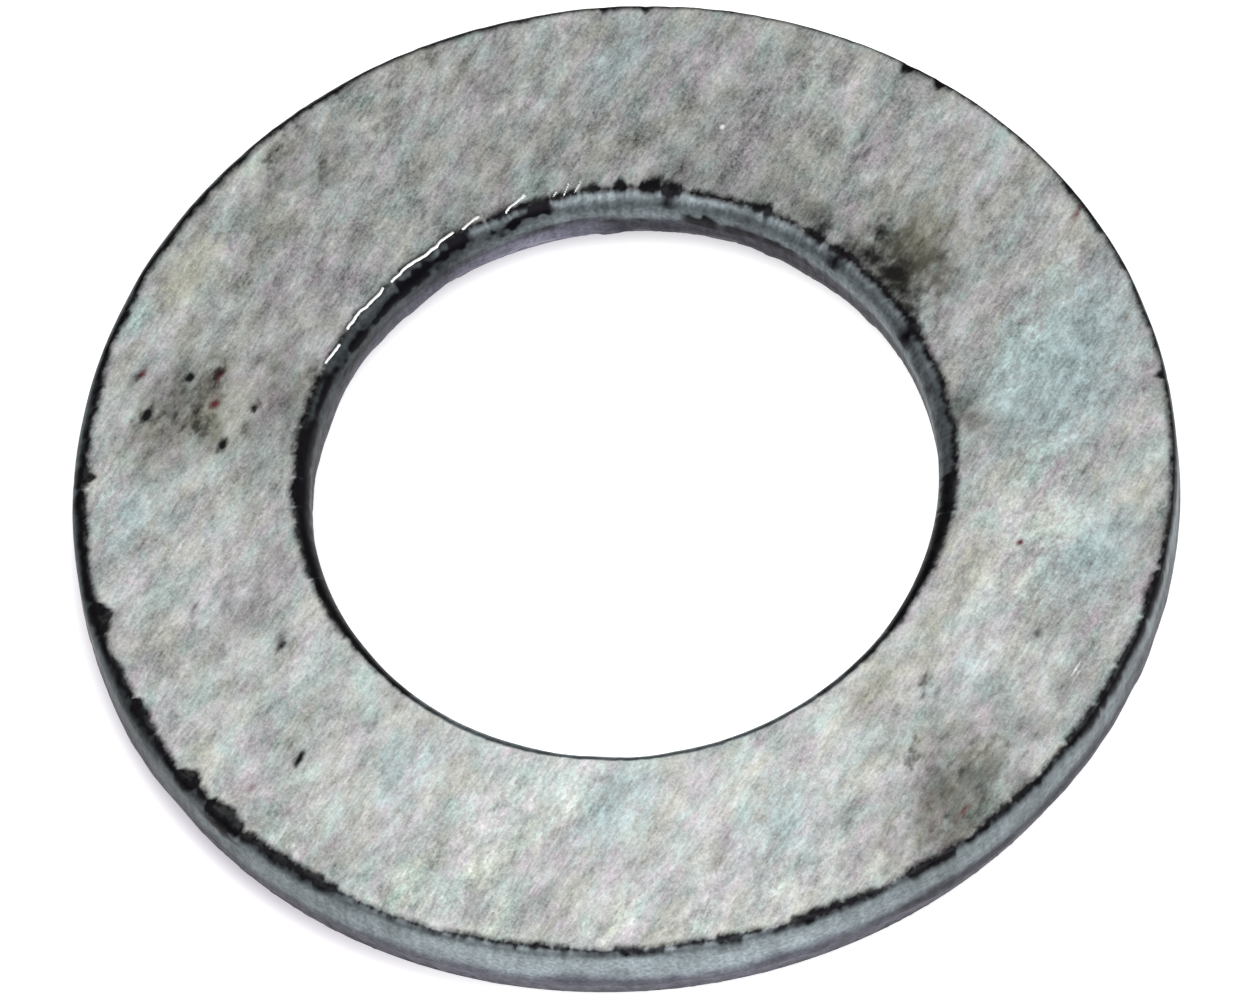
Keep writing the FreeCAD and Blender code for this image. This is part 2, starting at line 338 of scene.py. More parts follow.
def wall_noise(angle, height, cells, row_height, seed, slant=0.0):
    """Smooth noise over a wall, from -1 to 1: cells round the turn, rows one above another, and a slant in
    radians per mm. Depths do as well as heights."""
    row = height / row_height
    lower = np.floor(row).astype(int)
    blend = eased(row - lower)
    leaning = angle + slant * height
    result = np.zeros(angle.shape)
    for step in np.unique(lower):
        here = ring_noise(leaning, cells, seed + 31 * int(step))
        following = ring_noise(leaning, cells, seed + 31 * int(step) + 31)
        result = np.where(lower == step, here * (1 - blend) + following * blend, result)
    return result


def nick_depth(angle, radius, nicks):
    """How deep the struck nicks go at each angle."""
    degrees = np.degrees(angle)
    depth = np.zeros(angle.shape)
    for place, width, deep in nicks:
        from_middle = np.radians(np.abs(turn_from(degrees, place))) * radius
        depth = np.maximum(depth, deep * np.clip(1 - (2 * from_middle / width) ** 2, 0, 1))
    return depth * uneven(angle, 1, (0.3, 800, 90))


def painted_shade_line(angle, stretches, nick, nick_reach, seed):
    """How far the painted black shade line reaches over the face and down the wall at each angle, ragged
    all along and further at the nicks."""
    degrees = np.degrees(angle)
    reaches, depths = [], []
    for start, end, over, down in stretches:
        share = along(degrees, start, end, 0.8)
        reaches.append(share * (over - LINE_REACH_OUTSIDE) + LINE_REACH_OUTSIDE)
        depths.append(share * (down - LINE_DEPTH_OUTSIDE) + LINE_DEPTH_OUTSIDE)
    reach = np.max(reaches, axis=0) + LINE_REACH_ADDED
    reach = uneven(angle, reach, (0.045, 200, seed), (0.02, 500, seed + 1))
    depth = np.max(depths, axis=0) * uneven(angle, 1, (0.3, 300, seed + 2)) + LINE_DEPTH_ADDED
    depth = uneven(angle, depth, (0.05, 700, seed + 3))
    return reach + nick_reach * nick, depth + NICK_LINE_DEPTH * nick


def wall_dark_patches(angle, down, patches, seed):
    """How thick the dark patches are at a depth down a wall, from 0 to 1: soft patches smeared along the
    wall.
    """
    degrees = np.degrees(angle)
    smear = 0.10 * wall_noise(angle, down, cells=110, row_height=0.35, seed=seed, slant=0.05)
    smear = smear + 0.10 * wall_noise(angle, down, cells=300, row_height=0.2, seed=seed + 5, slant=0.03)
    grime = np.zeros(angle.shape)
    for start, end, depth_from, depth_to, high_from, high_to, strength in patches:
        share = np.clip(turn_from(degrees, start) / (end - start), 0, 1)
        middle = depth_from + (depth_to - depth_from) * share
        height = high_from + (high_to - high_from) * share
        cover = np.clip((height / 2 - np.abs(down - middle) + smear) / 0.14 + 0.5, 0, 1)
        grime = np.maximum(grime, strength * cover * along(degrees, start, end, 3.0))
    return grime


def wall_shading_and_streaks(angle, down, tones, seed):
    """How light a wall is: its painted light and shade at each angle, streaked up and down and mottled."""
    places, levels = np.array(tones).T
    tone = np.interp(np.degrees(angle), places, levels)
    broad = 0.16 * wall_noise(angle, down, cells=500, row_height=1.2, seed=seed)
    fine = 0.12 * wall_noise(angle, down, cells=1000, row_height=0.9, seed=seed + 5)
    mottle = 0.18 * wall_noise(angle, down, cells=90, row_height=0.5, seed=seed + 9, slant=0.03)
    return tone * (1 + (broad + fine) + mottle)


def torn_relief(angle, height, cells, fine_cells, seed):
    """How far the fractured wall stands out from its set-back surface, never further than the set-back."""
    broad = 0.035 * wall_noise(angle, height, cells, row_height=0.45, seed=seed)
    fine = 0.02 * wall_noise(angle, height, fine_cells, row_height=0.2, seed=seed + 1)
    return np.minimum(broad + fine, TORN_SET_BACK)


def burr_and_glint_at(angle, from_edge):
    """How much burr there is at a distance from the bore's edge onto the face, from 0 to 1: it raises the
    edge and sets its painted glint.
    """
    degrees = np.degrees(angle)
    burr = np.zeros(angle.shape)
    for start, end, stand_from, stand_to in BORE_BURR_GLINT:
        share = (degrees - start) / (end - start)
        middle = stand_from + (stand_to - stand_from) * share
        ridge = np.exp(-((from_edge - middle) / BURR_WIDTH) ** 2)
        burr = np.maximum(burr, along(degrees, start, end, 0.5) * ridge)
    return burr


class Section:
    """The stations of the ring's section, in order. Each has a radius, a height, and what covers it there:
    how far it is inside the painted black shade line from the face and from the wall (mm), how much it is
    wall, painted shade towards the wall's foot, dark patches and burr with its painted glint (from 0 to 1),
    and the wall's painted light and shade."""

    COVERS = ("over", "deep", "wall", "torn", "grime", "burr", "tone")

    def __init__(self, angle):
        self.angle = angle
        self.stations = []

    def add(self, radius, height, over=-0.6, deep=0.5, wall=0.0, torn=0.0, grime=0.0, burr=0.0, tone=1.0):
        row = (radius, height, over, deep, wall, torn, grime, burr, tone)
        self.stations.append([np.broadcast_to(value, self.angle.shape) for value in row])


def rim_side(section, angle):
    """The rim from its rolled upper edge down to the lower face. It returns where the lower face and the
    upper face end."""
    nick = nick_depth(angle, RIM, RIM_NICKS)
    # painted shade: the black line along the rim's upper edge
    reach, line_depth = painted_shade_line(angle, RIM_SHADE_LINE, nick, RIM_NICK_REACH, 100)
    width = RIM_ROLL_WIDTH + RIM_ROLL_WIDER * np.cos(angle - RIM_ROLL_WIDEST)
    width = width * uneven(angle, 1, (0.2, 90, 1), (0.12, 400, 2)) + 0.05 * nick
    depth = RIM_ROLL_DEPTH * uneven(angle, 1, (0.15, 70, 3)) + 0.05 * nick
    lobes = np.cos(3 * (angle - RIM_LOBE_PEAK)) * (1 + np.cos(angle - RIM_LOBE_SIDE)) / 2
    outline = RIM + RIM_LOBE * lobes
    radius = outline - RIPPLE * (1 + ring_noise(angle, 60, 4)) - 0.04 * nick
    inset = RIM_TORN_INSET - RIM_INSET_CHANGE * np.cos(angle - RIM_INSET_LEAST)
    face_end = radius - width
    tear = uneven(angle, 0, (0.15, 50, 5), (0.1, 200, 6))

    def wall_station(at, height, wall=1.0):
        down = THICKNESS - height
        section.add(
            at, height, wall=wall,
            over=reach + at - face_end,
            deep=line_depth - (at - face_end) - LINE_THINS * down,
            # painted shade: the rim wall darker towards its foot
            torn=share_between(down + tear, *RIM_LOWER_SHADE_DEPTHS),
            grime=wall_dark_patches(angle, down, RIM_DARK_PATCHES, 300),
            # painted light and shade: the rim wall lighter or darker by the way it faces
            tone=wall_shading_and_streaks(angle, down, RIM_WALL_SHADING, 400),
        )

    for from_edge in RIM_FACE_STEPS:
        section.add(face_end - from_edge, THICKNESS, reach - from_edge)
    for tilt in np.radians(RIM_ROLL_TILTS):
        height = THICKNESS - depth * (1 - np.cos(tilt))
        wall_station(radius - width * (1 - np.sin(tilt)), height, np.sin(tilt))
    land_top = THICKNESS - depth
    land_low = RIM_TORN_TOP * uneven(angle, 1, (0.12, 36, 15), (0.08, 160, 16))
    for share in RIM_LAND_SHARES:
        height = land_top + (land_low - land_top) * share
        wall_station(radius + LAND_RIPPLE * wall_noise(angle, height, 900, 0.8, 40), height)
    for share in TORN_SHARES:
        height = land_low + (LOWER_BREAK - land_low) * share
        relief = torn_relief(angle, height, 500, 1100, 7)
        wall_station(radius - inset * share - TORN_SET_BACK + relief, height)
    foot = outline - inset - FOOT_MARGIN
    for tilt in np.radians(BREAK_TILTS):
        wall_station(foot - LOWER_BREAK * (1 - np.cos(tilt)), LOWER_BREAK * (1 - np.sin(tilt)))
    return foot - LOWER_BREAK, face_end


def bore_side(section, angle):
    """The bore from the lower face up to its rolled upper edge. It returns where the upper face starts."""
    degrees = np.degrees(angle)
    nick = nick_depth(angle, BORE, BORE_NICKS)
    # painted shade: the black line along the bore's upper edge
    reach, line_depth = painted_shade_line(angle, BORE_SHADE_LINE, nick, BORE_NICK_REACH, 200)
    radius = BORE - BORE_TIGHTER - BORE_OVAL * np.cos(2 * angle)
    radius = radius + RIPPLE * ring_noise(angle, 50, 9) + 0.12 * nick
    far = np.sin(angle)
    wider_right = along(degrees, -BORE_RIGHT_REACH, BORE_RIGHT_REACH, BORE_RIGHT_REACH / 2)
    width = BORE_ROLL_WIDTH + BORE_FAR_WIDER * far + BORE_RIGHT_WIDER * wider_right
    width = width * uneven(angle, 1, (0.08, 60, 10), (0.05, 300, 11)) + 0.3 * nick
    depth = (BORE_ROLL_DEPTH + BORE_FAR_DEEPER * far) * uneven(angle, 1, (0.15, 50, 12)) + 0.4 * nick
    land_low = BORE_TORN_TOP * uneven(angle, 1, (0.10, 28, 13), (0.07, 120, 14))
    land_top = THICKNESS - depth
    face_start = radius + width
    tear = uneven(angle, 0, (0.12, 40, 25), (0.1, 140, 26))
    # painted light and shade: the bore's foot lighter over one span and darker elsewhere
    foot_shading = FOOT_LIGHTER * along(degrees, *FOOT_LIGHT_SPAN, 16.0) - FOOT_DARKER

    def wall_station(at, height, wall=1.0, burr=0.0):
        down = THICKNESS - height
        # painted light and shade: the bore wall lighter or darker by the way it faces
        tone = wall_shading_and_streaks(angle, down, BORE_WALL_SHADING, 600)
        section.add(
            at, height + BURR_HEIGHT * burr, wall=wall, burr=burr,
            over=reach + face_start - at,
            deep=line_depth - (face_start - at) - LINE_THINS * down,
            # painted shade: the bore wall darker towards its foot
            torn=share_between(down + tear, *BORE_LOWER_SHADE_DEPTHS),
            grime=wall_dark_patches(angle, down, BORE_DARK_PATCHES, 500),
            tone=tone * (1 + foot_shading * share_between(down, *FOOT_LOOK)),
        )

    for tilt in np.radians(BREAK_TILTS[::-1]):
        wall_station(BORE_FOOT + LOWER_BREAK * (1 - np.cos(tilt)), LOWER_BREAK * (1 - np.sin(tilt)))
    for share in TORN_SHARES[::-1]:
        height = land_low + (LOWER_BREAK - land_low) * share
        relief = torn_relief(angle, height, 320, 700, 15)
        wall_station(radius + BORE_TORN_FLARE * share + TORN_SET_BACK - relief, height)
    for share in BORE_LAND_SHARES:
        height = land_top + (land_low - land_top) * share
        wall_station(radius + LAND_RIPPLE * wall_noise(angle, height, 600, 0.8, 60), height)
    for tilt in np.radians(BORE_ROLL_TILTS):
        height = THICKNESS - depth * (1 - np.cos(tilt))
        # the burr raises the bore's edge and carries its painted glint
        burr = burr_and_glint_at(angle, -width * np.sin(tilt))
        wall_station(radius + width * (1 - np.sin(tilt)), height, np.sin(tilt), burr)
    for from_edge in BORE_FACE_STEPS:
        burr = burr_and_glint_at(angle, from_edge)
        section.add(face_start + from_edge, THICKNESS + BURR_HEIGHT * burr, reach - from_edge, burr=burr)
    return face_start


def ring_mesh():
    """The washer's mesh: every station of the section joined right round the turn."""
    angle = np.arange(AROUND) * TURN / AROUND
    section = Section(angle)
    rim_foot, rim_face_end = rim_side(section, angle)
    for share in LOWER_FACE_SHARES:
        section.add(rim_foot + (BORE_FOOT + LOWER_BREAK - rim_foot) * share, 0.0)
    bore_face_start = bore_side(section, angle)
    inner, outer = bore_face_start + BORE_FACE_STEPS[-1], rim_face_end - RIM_FACE_STEPS[0]
    for share in UPPER_FACE_SHARES:
        section.add(inner * (1 - share) + outer * share, THICKNESS)
    radius, height, *covers = np.array(section.stations).transpose(1, 2, 0)
    rows = radius.shape[1]
    across = radius * np.cos(angle)[:, None]
    back = radius * np.sin(angle)[:, None]
    points = np.stack([across, back, height], axis=-1).reshape(-1, 3)
    index = np.arange(AROUND * rows).reshape(AROUND, rows)
    onward = np.roll(index, -1, axis=0)
    corners = [index, np.roll(index, -1, axis=1), np.roll(onward, -1, axis=1), onward]
    faces = np.stack(corners, axis=-1).reshape(-1, 4)
    mesh = bpy.data.meshes.new("washer_skin")
    mesh.from_pydata((points * MM).tolist(), [], faces.tolist())
    for name, values in zip(Section.COVERS, covers):
        layer = mesh.attributes.new(name, "FLOAT", "POINT")
        layer.data.foreach_set("value", values.reshape(-1).astype(np.float32))
    mesh.polygons.foreach_set("use_smooth", [True] * len(mesh.polygons))
    mesh.update()
    return mesh


# ---- material ------------------------------------------------------------------------------------------

# noises over the plate: size (mm), detail, roughness, stretch along the grain, seed
NOISES = {
    "cloud": (2.0, 2.0, 0.5, 1.6, 1),
    "patch": (0.7, 2.0, 0.55, 1.9, 2),
    "grain": (0.27, 2.0, 0.6, 1.9, 3),
    "speck": (0.13, 1.0, 0.5, 1.3, 4),
    "dust": (0.075, 0.0, 0.5, 1.0, 13),
    "streak": (0.09, 1.0, 0.5, 5.0, 5),
    "fray": (0.7, 3.0, 0.7, 1.5, 6),
    "cyan": (1.1, 3.0, 0.65, 1.8, 7),
    "mauve": (0.85, 3.0, 0.65, 1.8, 8),
    "olive": (1.2, 3.0, 0.65, 1.8, 9),
    "flecks": (0.34, 2.0, 0.6, 1.7, 12),
    "gaps": (0.45, 2.0, 0.6, 1.0, 14),
}

# the plating's tint, then the tints mottled over it: noise, where it starts and ends, tint
PLATE_TINT = (0.985, 1, 1)
MOTTLES = [
    ("cyan", 0.36, 0.66, (0.875, 1.04, 0.995)),
    ("mauve", 0.42, 0.72, (1.03, 0.94, 1.01)),
    ("olive", 0.42, 0.70, (0.98, 0.985, 0.90)),
]
# listed patches and their tint
TINTED = [(CYAN, (0.84, 1.03, 1.05)), (MAUVE, (1.025, 0.955, 1.015)), (OLIVE, (0.92, 0.92, 0.78))]

# how light the plating is: overall, then painted light from the darkest to the lightest side over a span in
# mm, and across the ring's face, where its outer part is lighter at the far side and its inner part at the
# near side
LIGHTNESS = 0.50
PAINTED_LIGHT_SIDE = math.radians(264)
PAINTED_LIGHT_SPAN = (-17, 17)
PAINTED_LIGHT_RANGE = (0.81, 1.30)
FAR_SPAN = (-12, 12)
FACE_SPAN = (11.2, 17.8)
ACROSS_CHANGE = 0.13
# how much each noise changes the lightness
LIGHT_NOISES = [
    ("cloud", 0.28), ("patch", 0.37), ("grain", 0.20), ("speck", 0.18), ("dust", 0.15), ("streak", 0.15),
]

# what the pale patches and painted highlights, the haze and its flecks multiply the plating's colour by
PALE_AND_HIGHLIGHT_GAIN = (1.20, 1.27, 1.21)
HAZE_GAIN = (0.38, 0.37, 0.34)
FLECK_GAIN = (0.30, 0.28, 0.28)
# flecks: where in their noise they start and end, how much of them shows outside the haze and in it, and
# the haze at which that starts and ends
FLECK_NOISE = (0.50, 0.74)
FLECK_SHARES = (0.10, 0.65)
FLECK_HAZE = (0.1, 0.7)

# white of bare metal in scratches and dings, and of the burr's painted glint
BARE_METAL_AND_GLINT = (0.98, 0.99, 0.99)
LAND_COLOUR = (0.292, 0.338, 0.360)
# colour of the painted shade towards each wall's foot
LOWER_SHADE_COLOUR = (0.093, 0.092, 0.122)
DARK_PATCH_COLOUR = (0.006, 0.005, 0.008)
# colour of the painted black shade line along the edges
SHADE_LINE_COLOUR = (0.006, 0.005, 0.007)
# marks that cover the plating: where their cover starts and ends, colour
COVERING = [
    (SMUDGE, 0.3, 2.1, (0.016, 0.015, 0.014)),
    (RUST, 0.3, 1.6, (0.14, 0.03, 0.035)),
    (SOOT, 0.2, 1.5, (0.010, 0.010, 0.010)),
    (SHINE, 0.7, 2.0, BARE_METAL_AND_GLINT),
]

# where each cover starts and ends: wall, dark patches, the painted black shade line by its reach and its
# depth, and the burr's painted glint
WALL_COVER = (0.0, 0.22)
DARK_PATCH_COVER = (0.05, 0.75)
LINE_REACH_COVER = (-0.17, 0.13)
LINE_DEPTH_COVER = (-0.17, 0.12)
BURR_GLINT_COVER = (0.4, 0.6)
# how light the specks make the walls, and how dense the painted shade line is in its gaps and between them
WALL_SPECKS = (0.75, 1.25)
LINE_DENSITY = (0.94, 1.0)

METALLIC = 0.9
ROUGHNESS = (0.38, 0.5)
WALL_ROUGHER = 0.15
BUMP_STRENGTH = 0.25
BUMP_DEPTH = 0.02

# the middle of a noise's range, and how far each seed shifts a noise (mm)
NOISE_MIDDLE = (0.22, 0.78)
SHIFT_PER_SEED = (17.0, -11.0, 5.0)


class Shader:
    """A material's node tree, with short calls that each add nodes and return their output."""

    def __init__(self, name):
        self.material = bpy.data.materials.new(name)
        self.material.use_nodes = True
        self.tree = self.material.node_tree
        self.tree.nodes.clear()

    def node(self, kind, inputs=(), **settings):
        added = self.tree.nodes.new(kind)
        for setting, value in settings.items():
            setattr(added, setting, value)
        for socket, value in dict(inputs).items():
            self.fill(added, socket, value)
        return added

    def fill(self, node, socket, value):
        """Links another node's output to an input, or gives the input a value."""
        if isinstance(value, bpy.types.NodeSocket):
            self.tree.links.new(value, node.inputs[socket])
        else:
            node.inputs[socket].default_value = value

    def calc(self, operation, first, second):
        return self.node("ShaderNodeMath", {0: first, 1: second}, operation=operation).outputs[0]

    def total(self, *values):
        result = values[0]
        for value in values[1:]:
            result = self.calc("ADD", result, value)
        return result

    def vector(self, operation, first, second=(0, 0, 0)):
        added = self.node("ShaderNodeVectorMath", {0: first, 1: second}, operation=operation)
        return added.outputs["Value" if operation in ("LENGTH", "DOT_PRODUCT") else "Vector"]

    def scaled(self, colour, factor):
        return self.node("ShaderNodeVectorMath", {0: colour, "Scale": factor}, operation="SCALE").outputs[0]

    def step(self, value, start, end, low=0.0, high=1.0, shape="SMOOTHSTEP"):
        sockets = {"Value": value, "From Min": start, "From Max": end, "To Min": low, "To Max": high}
        return self.node("ShaderNodeMapRange", sockets, interpolation_type=shape).outputs[0]

    def swing(self, noise, amount):
        """Noise spread evenly from -amount to amount about its middle."""
        return self.step(noise, *NOISE_MIDDLE, -amount, amount, "LINEAR")

    def here(self):
        """Where each point of the object is, in mm."""
        place = self.node("ShaderNodeTexCoord").outputs["Object"]
        return self.vector("MULTIPLY", place, (1 / MM, 1 / MM, 1 / MM))

    def placed(self, here, place=(0, 0, 0), turn=0.0, size=(1, 1, 1)):
        """Coordinates from a place, turned by degrees and measured in a size's own lengths."""
        sockets = {"Vector": here, "Location": place, "Rotation": (0, 0, math.radians(turn)), "Scale": size}
        return self.node("ShaderNodeMapping", sockets, vector_type="TEXTURE").outputs[0]

    def noise(self, here, name):
        """One of the listed noises, shifted by its seed and stretched along the grain."""
        size, detail, roughness, stretch, seed = NOISES[name]
        shift = tuple(each * seed for each in SHIFT_PER_SEED)
        there = self.placed(here, shift, GRAIN, (size * stretch, size, size))
        sockets = {"Vector": there, "Scale": 1.0, "Detail": detail, "Roughness": roughness}
        return self.node("ShaderNodeTexNoise", sockets).outputs["Fac"]

    def mix(self, share, first, second):
        """One colour, then another as the share goes from 0 to 1."""
        added = self.node("ShaderNodeMix", data_type="RGBA")
        self.fill(added, 0, share)
        for socket, colour in ((6, first), (7, second)):
            opaque = (*colour, 1.0) if isinstance(colour, tuple) else colour
            self.fill(added, socket, opaque)
        return added.outputs[2]

    def attribute(self, name):
        return self.node("ShaderNodeAttribute", attribute_name=name).outputs["Fac"]

    def marks(self, turned, listed, fray, start=0.2, end=1.5):
        """How strongly listed marks cover each place, from 0 to 1. Each is an oval along the grain that
        thins out towards twice its size, with a frayed edge. It counts as nothing where it is as thin as
        start, and in full where it is as thick as end."""
        cover = None
        for degrees, radius, length, width, strength in listed:
            angle = math.radians(degrees - GRAIN)
            size = (2 / length, 2 / width, 1.0)
            middle = (radius * math.cos(angle), radius * math.sin(angle), THICKNESS)
            offset = tuple(-place * scale for place, scale in zip(middle, size))
            sockets = {0: turned, 1: size, 2: offset}
            there = self.node("ShaderNodeVectorMath", sockets, operation="MULTIPLY_ADD").outputs[0]
            away = self.vector("LENGTH", there)
            sockets = {0: away, 1: -strength, 2: 2 * strength}
            one = self.node("ShaderNodeMath", sockets, operation="MULTIPLY_ADD").outputs[0]
            cover = one if cover is None else self.calc("MAXIMUM", cover, one)
        return self.step(self.calc("ADD", cover, fray), start, end)


def plate_tint(shade, here, turned, fray):
    """The plating's tints, mottled and in patches."""
    tint = PLATE_TINT
    for name, start, end, colour in MOTTLES:
        tint = shade.mix(shade.step(shade.noise(here, name), start, end), tint, colour)
    for listed, colour in TINTED:
        tint = shade.mix(shade.marks(turned, listed, fray), tint, colour)
    return tint


def painted_light_and_mottle(shade, here, noises):
    """How light the plating is: painted light across the face, with random mottle from the noises."""
    side = (math.cos(PAINTED_LIGHT_SIDE), math.sin(PAINTED_LIGHT_SIDE), 0)
    towards = shade.vector("DOT_PRODUCT", here, side)
    radius = shade.vector("LENGTH", shade.vector("MULTIPLY", here, (1, 1, 0)))
    far = shade.step(shade.vector("DOT_PRODUCT", here, (0, 1, 0)), *FAR_SPAN, -1.0, 1.0, "LINEAR")
    outward = shade.step(radius, *FACE_SPAN, -ACROSS_CHANGE, ACROSS_CHANGE, "LINEAR")
    # painted light: lighter towards one side, and across the face by near and far
    light = shade.total(
        shade.step(towards, *PAINTED_LIGHT_SPAN, *PAINTED_LIGHT_RANGE, "LINEAR"),
        shade.calc("MULTIPLY", far, outward),
        *[shade.swing(noises[name], amount) for name, amount in LIGHT_NOISES],
    )
    return shade.calc("MULTIPLY", light, LIGHTNESS)


def stained(shade, here, turned, fray, colour):
    """A colour with the listed marks over it, from the lighter patches and painted highlights to the bare
    metal.
    """
    # pale patches, and a painted highlight along the inside of the rim
    pale = shade.vector("MULTIPLY", colour, PALE_AND_HIGHLIGHT_GAIN)
    colour = shade.mix(shade.marks(turned, PALE_AND_HIGHLIGHT, fray), colour, pale)
    haze = shade.marks(turned, HAZE, fray)
    hazy = shade.vector("MULTIPLY", colour, HAZE_GAIN)
    colour = shade.mix(haze, colour, hazy)
    flecks = shade.step(shade.noise(here, "flecks"), *FLECK_NOISE)
    flecks = shade.calc("MULTIPLY", flecks, shade.step(haze, *FLECK_HAZE, *FLECK_SHARES))
    colour = shade.mix(flecks, colour, shade.vector("MULTIPLY", colour, FLECK_GAIN))
    for listed, start, end, mark_colour in COVERING:
        colour = shade.mix(shade.marks(turned, listed, fray, start, end), colour, mark_colour)
    return colour


def walled(shade, wall, torn, tone, speck, colour):
    """A colour with the walls' colour where the section is wall, darkened by painted shade towards the foot
    and by dark patches, and scaled by the walls' painted light and shade.
    """
    wall_colour = shade.mix(torn, LAND_COLOUR, LOWER_SHADE_COLOUR)
    level = shade.calc("MULTIPLY", tone, shade.step(speck, 0.2, 0.8, *WALL_SPECKS))
    wall_colour = shade.scaled(wall_colour, level)
    grime = shade.step(shade.attribute("grime"), *DARK_PATCH_COVER)
    wall_colour = shade.mix(grime, wall_colour, DARK_PATCH_COLOUR)
    return shade.mix(shade.step(wall, *WALL_COVER), colour, wall_colour)


def edged(shade, here, grain, speck, colour):
    """A colour with the painted black shade line and the burr's painted white glint along the edges."""
    over = shade.total(shade.attribute("over"), shade.swing(grain, 0.07), shade.swing(speck, 0.05))
    deep = shade.calc("ADD", shade.attribute("deep"), shade.swing(speck, 0.06))
    density = shade.step(shade.noise(here, "gaps"), 0.35, 0.60, *LINE_DENSITY)
    reached, sunk = shade.step(over, *LINE_REACH_COVER), shade.step(deep, *LINE_DEPTH_COVER)
    # painted shade: the black line along the edges
    black = shade.calc("MULTIPLY", reached, sunk)
    colour = shade.mix(shade.calc("MULTIPLY", black, density), colour, SHADE_LINE_COLOUR)
    # painted glint: the burr drawn white
    burr = shade.total(shade.attribute("burr"), shade.swing(speck, 0.15))
    return shade.mix(shade.step(burr, *BURR_GLINT_COVER), colour, BARE_METAL_AND_GLINT)


def zinc_plate():
    """Zinc plate over stamped steel: satin, mottled by its passivation, streaked along the grain, with
    painted light and shade on its face, walls and edges.
    """
    shade = Shader("zinc_plated_steel")
    here = shade.here()
    turned = shade.placed(here, turn=GRAIN)
    # the walls carry painted shade towards their foot and painted light and shade by the way they face
    wall, torn, tone = shade.attribute("wall"), shade.attribute("torn"), shade.attribute("tone")
    noises = {name: shade.noise(here, name) for name, _ in LIGHT_NOISES}
    grain, speck = noises["grain"], noises["speck"]
    fray = shade.noise(here, "fray")
    fray = shade.total(shade.swing(fray, 0.55), shade.swing(grain, 0.25), shade.swing(speck, 0.15))

    tint = plate_tint(shade, here, turned, fray)
    colour = shade.scaled(tint, painted_light_and_mottle(shade, here, noises))
    colour = stained(shade, here, turned, fray, colour)
    colour = walled(shade, wall, torn, tone, speck, colour)
    colour = edged(shade, here, grain, speck, colour)

    rough = shade.step(grain, 0.3, 0.7, *ROUGHNESS)
    rough = shade.total(rough, shade.calc("MULTIPLY", wall, WALL_ROUGHER))
    relief = shade.total(
        shade.calc("MULTIPLY", grain, 0.6), shade.calc("MULTIPLY", speck, 0.5), noises["streak"]
    )
    sockets = {"Strength": BUMP_STRENGTH, "Distance": BUMP_DEPTH * MM, "Height": relief}
    bump = shade.node("ShaderNodeBump", sockets).outputs[0]
    sockets = {"Base Color": colour, "Metallic": METALLIC, "Roughness": rough, "Normal": bump}
    surface = shade.node("ShaderNodeBsdfPrincipled", sockets)
    shade.node("ShaderNodeOutputMaterial", {"Surface": surface.outputs[0]})
    return shade.material


# ---- setting -------------------------------------------------------------------------------------------

# the camera: how high it stands, its roll, lens and sensor (mm), how wide a view it has, and where it aims
# from the middle of the washer's upper face (mm)
CAMERA_ELEVATION = math.radians(59.37)
CAMERA_ROLL = math.radians(7.72)
LENS = 1000
SENSOR = 36
VIEW_WIDTH = 41.70
AIM_RIGHT = 0.054
AIM_DOWN = 0.753
# nearest and furthest that the camera sees, in metres
CLIP = (0.01, 10)

# lights facing the middle of the bore: name, place, width and height (mm), power (W), colour
LIGHTS = [
    ("overhead", (0, -60, 220), (260, 200), 0.36, (1, 1, 1)),
    ("right", (200, 60, 120), (120, 120), 0.10, (0.93, 1.0, 1.0)),
]

# the table: half its side and its depth under the washer (m), its colour, and the light it gives off
TABLE_REACH = 3.0
TABLE_BELOW = 0.00001
TABLE_WHITE = (0.75, 0.75, 0.75)
TABLE_SHADE = (0.30, 0.27, 0.32)
GLOW_WHITE = (1, 1, 1)
GLOW_SHADE = (0.42, 0.38, 0.46)
GLOW = 0.75
TABLE_ROUGHNESS = 0.9

# the shade painted on the table, past the rim and under the bore's edge: the radii between which each comes
# in, how strong it is, what keeps it to the washer's left or under the washer, and which way right is
RIM_SHADE_RADII = (RIM + 0.7, RIM - 0.4)
RIM_SHADE = 0.7
LEFT_SPAN = (-6, -17)
BORE_SHADE_RADII = (BORE, BORE + 1.2)
BORE_SHADE = 0.6
UNDER_RADII = (RIM - 1, RIM - 2)
RIGHTWARD = (1, 0.15, 0)

# the studio: its strength low down and overhead, and how far up a direction points where it starts and
# stops changing, from 0 for level to 1 for straight up
SKY_STRENGTH = (0.03, 1.0)
SKY_RISE = (0.45, 0.9)


def camera():
    """A long lens looking down past the washer's centre, rolled a little."""
    level = Vector((1, 0, 0))
    upright = Vector((0, math.sin(CAMERA_ELEVATION), math.cos(CAMERA_ELEVATION)))
    right = math.cos(CAMERA_ROLL) * level - math.sin(CAMERA_ROLL) * upright
    up = math.sin(CAMERA_ROLL) * level + math.cos(CAMERA_ROLL) * upright
    back = right.cross(up)
    distance = LENS / SENSOR * VIEW_WIDTH
    aim = Vector((0, 0, THICKNESS)) + AIM_RIGHT * right - AIM_DOWN * up
    data = bpy.data.cameras.new("camera")
    data.lens = LENS
    data.sensor_width = SENSOR
    data.clip_start, data.clip_end = CLIP
    added = bpy.data.objects.new("camera", data)
    bpy.context.scene.collection.objects.link(added)
    turned = Matrix((right, up, back)).transposed().to_4x4()
    added.matrix_world = Matrix.Translation((aim + distance * back) * MM) @ turned
    bpy.context.scene.camera = added


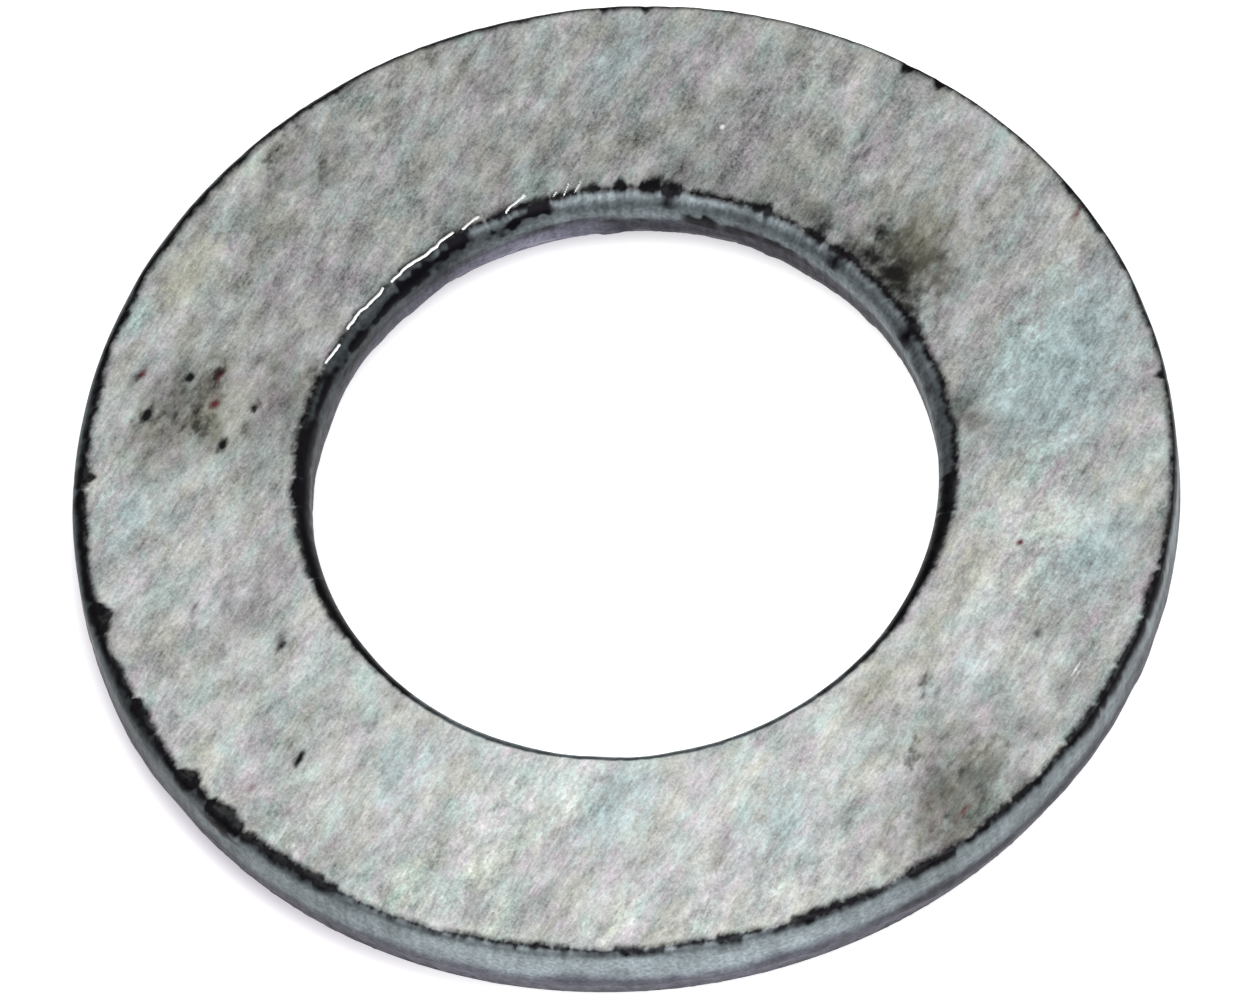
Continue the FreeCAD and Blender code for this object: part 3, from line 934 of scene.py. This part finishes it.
def area_light(name, place, size, power, colour):
    """A soft box at a place, facing the middle of the bore."""
    data = bpy.data.lights.new(name, "AREA")
    data.shape = "RECTANGLE"
    data.size, data.size_y = size[0] * MM, size[1] * MM
    data.energy = power
    data.color = colour
    added = bpy.data.objects.new(name, data)
    bpy.context.scene.collection.objects.link(added)
    added.location = Vector(place) * MM
    facing = Vector((0, 0, 0)) - Vector(place)
    added.rotation_euler = facing.to_track_quat("-Z", "Y").to_euler()


def table_paint():
    """White, with a lavender shade painted close to the washer: past its rim on the left, and under the
    edge of its bore."""
    shade = Shader("white_table")
    place = shade.node("ShaderNodeTexCoord").outputs["Object"]
    here = shade.vector("MULTIPLY", place, (1 / MM, 1 / MM, 0))
    radius = shade.vector("LENGTH", here)
    right = shade.vector("DOT_PRODUCT", here, RIGHTWARD)
    under = shade.step(radius, *UNDER_RADII)
    rim_shade = shade.step(radius, *RIM_SHADE_RADII, 0.0, RIM_SHADE)
    rim_shade = shade.calc("MULTIPLY", rim_shade, shade.step(right, *LEFT_SPAN))
    bore_shade = shade.step(radius, *BORE_SHADE_RADII, 0.0, BORE_SHADE)
    bore_shade = shade.calc("MULTIPLY", bore_shade, under)
    both = shade.calc("MAXIMUM", rim_shade, bore_shade)
    sockets = {
        "Base Color": shade.mix(both, TABLE_WHITE, TABLE_SHADE),
        "Roughness": TABLE_ROUGHNESS,
        "Emission Color": shade.mix(both, GLOW_WHITE, GLOW_SHADE),
        "Emission Strength": GLOW,
    }
    surface = shade.node("ShaderNodeBsdfPrincipled", sockets)
    shade.node("ShaderNodeOutputMaterial", {"Surface": surface.outputs[0]})
    return shade.material


def floor():
    """A table that gives off some light of its own, enough to burn out to white."""
    mesh = bpy.data.meshes.new("table")
    signs = [(-1, -1), (1, -1), (1, 1), (-1, 1)]
    corners = [(across * TABLE_REACH, back * TABLE_REACH, -TABLE_BELOW) for across, back in signs]
    mesh.from_pydata(corners, [], [(0, 1, 2, 3)])
    mesh.materials.append(table_paint())
    added = bpy.data.objects.new("table", mesh)
    bpy.context.scene.collection.objects.link(added)


def sky():
    """A studio that is dark level with the table and pale overhead."""
    world = bpy.data.worlds.new("studio")
    bpy.context.scene.world = world
    world.use_nodes = True
    tree = world.node_tree
    tree.nodes.clear()
    coordinates = tree.nodes.new("ShaderNodeTexCoord")
    split = tree.nodes.new("ShaderNodeSeparateXYZ")
    tree.links.new(coordinates.outputs["Generated"], split.inputs[0])
    ramp = tree.nodes.new("ShaderNodeMapRange")
    ramp.interpolation_type = "SMOOTHSTEP"
    for name, value in zip(("From Min", "From Max", "To Min", "To Max"), (*SKY_RISE, *SKY_STRENGTH)):
        ramp.inputs[name].default_value = value
    tree.links.new(split.outputs[2], ramp.inputs["Value"])
    background = tree.nodes.new("ShaderNodeBackground")
    tree.links.new(ramp.outputs[0], background.inputs["Strength"])
    output = tree.nodes.new("ShaderNodeOutputWorld")
    tree.links.new(background.outputs[0], output.inputs[0])


def main():
    washer = bpy.data.objects.new("washer_skin", ring_mesh())
    bpy.context.scene.collection.objects.link(washer)
    washer.data.materials.append(zinc_plate())
    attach(washer, "root")
    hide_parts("washer")
    floor()
    sky()
    camera()
    for name, place, size, power, colour in LIGHTS:
        area_light(name, place, size, power, colour)
    bpy.context.scene.view_settings.view_transform = "Standard"


main()
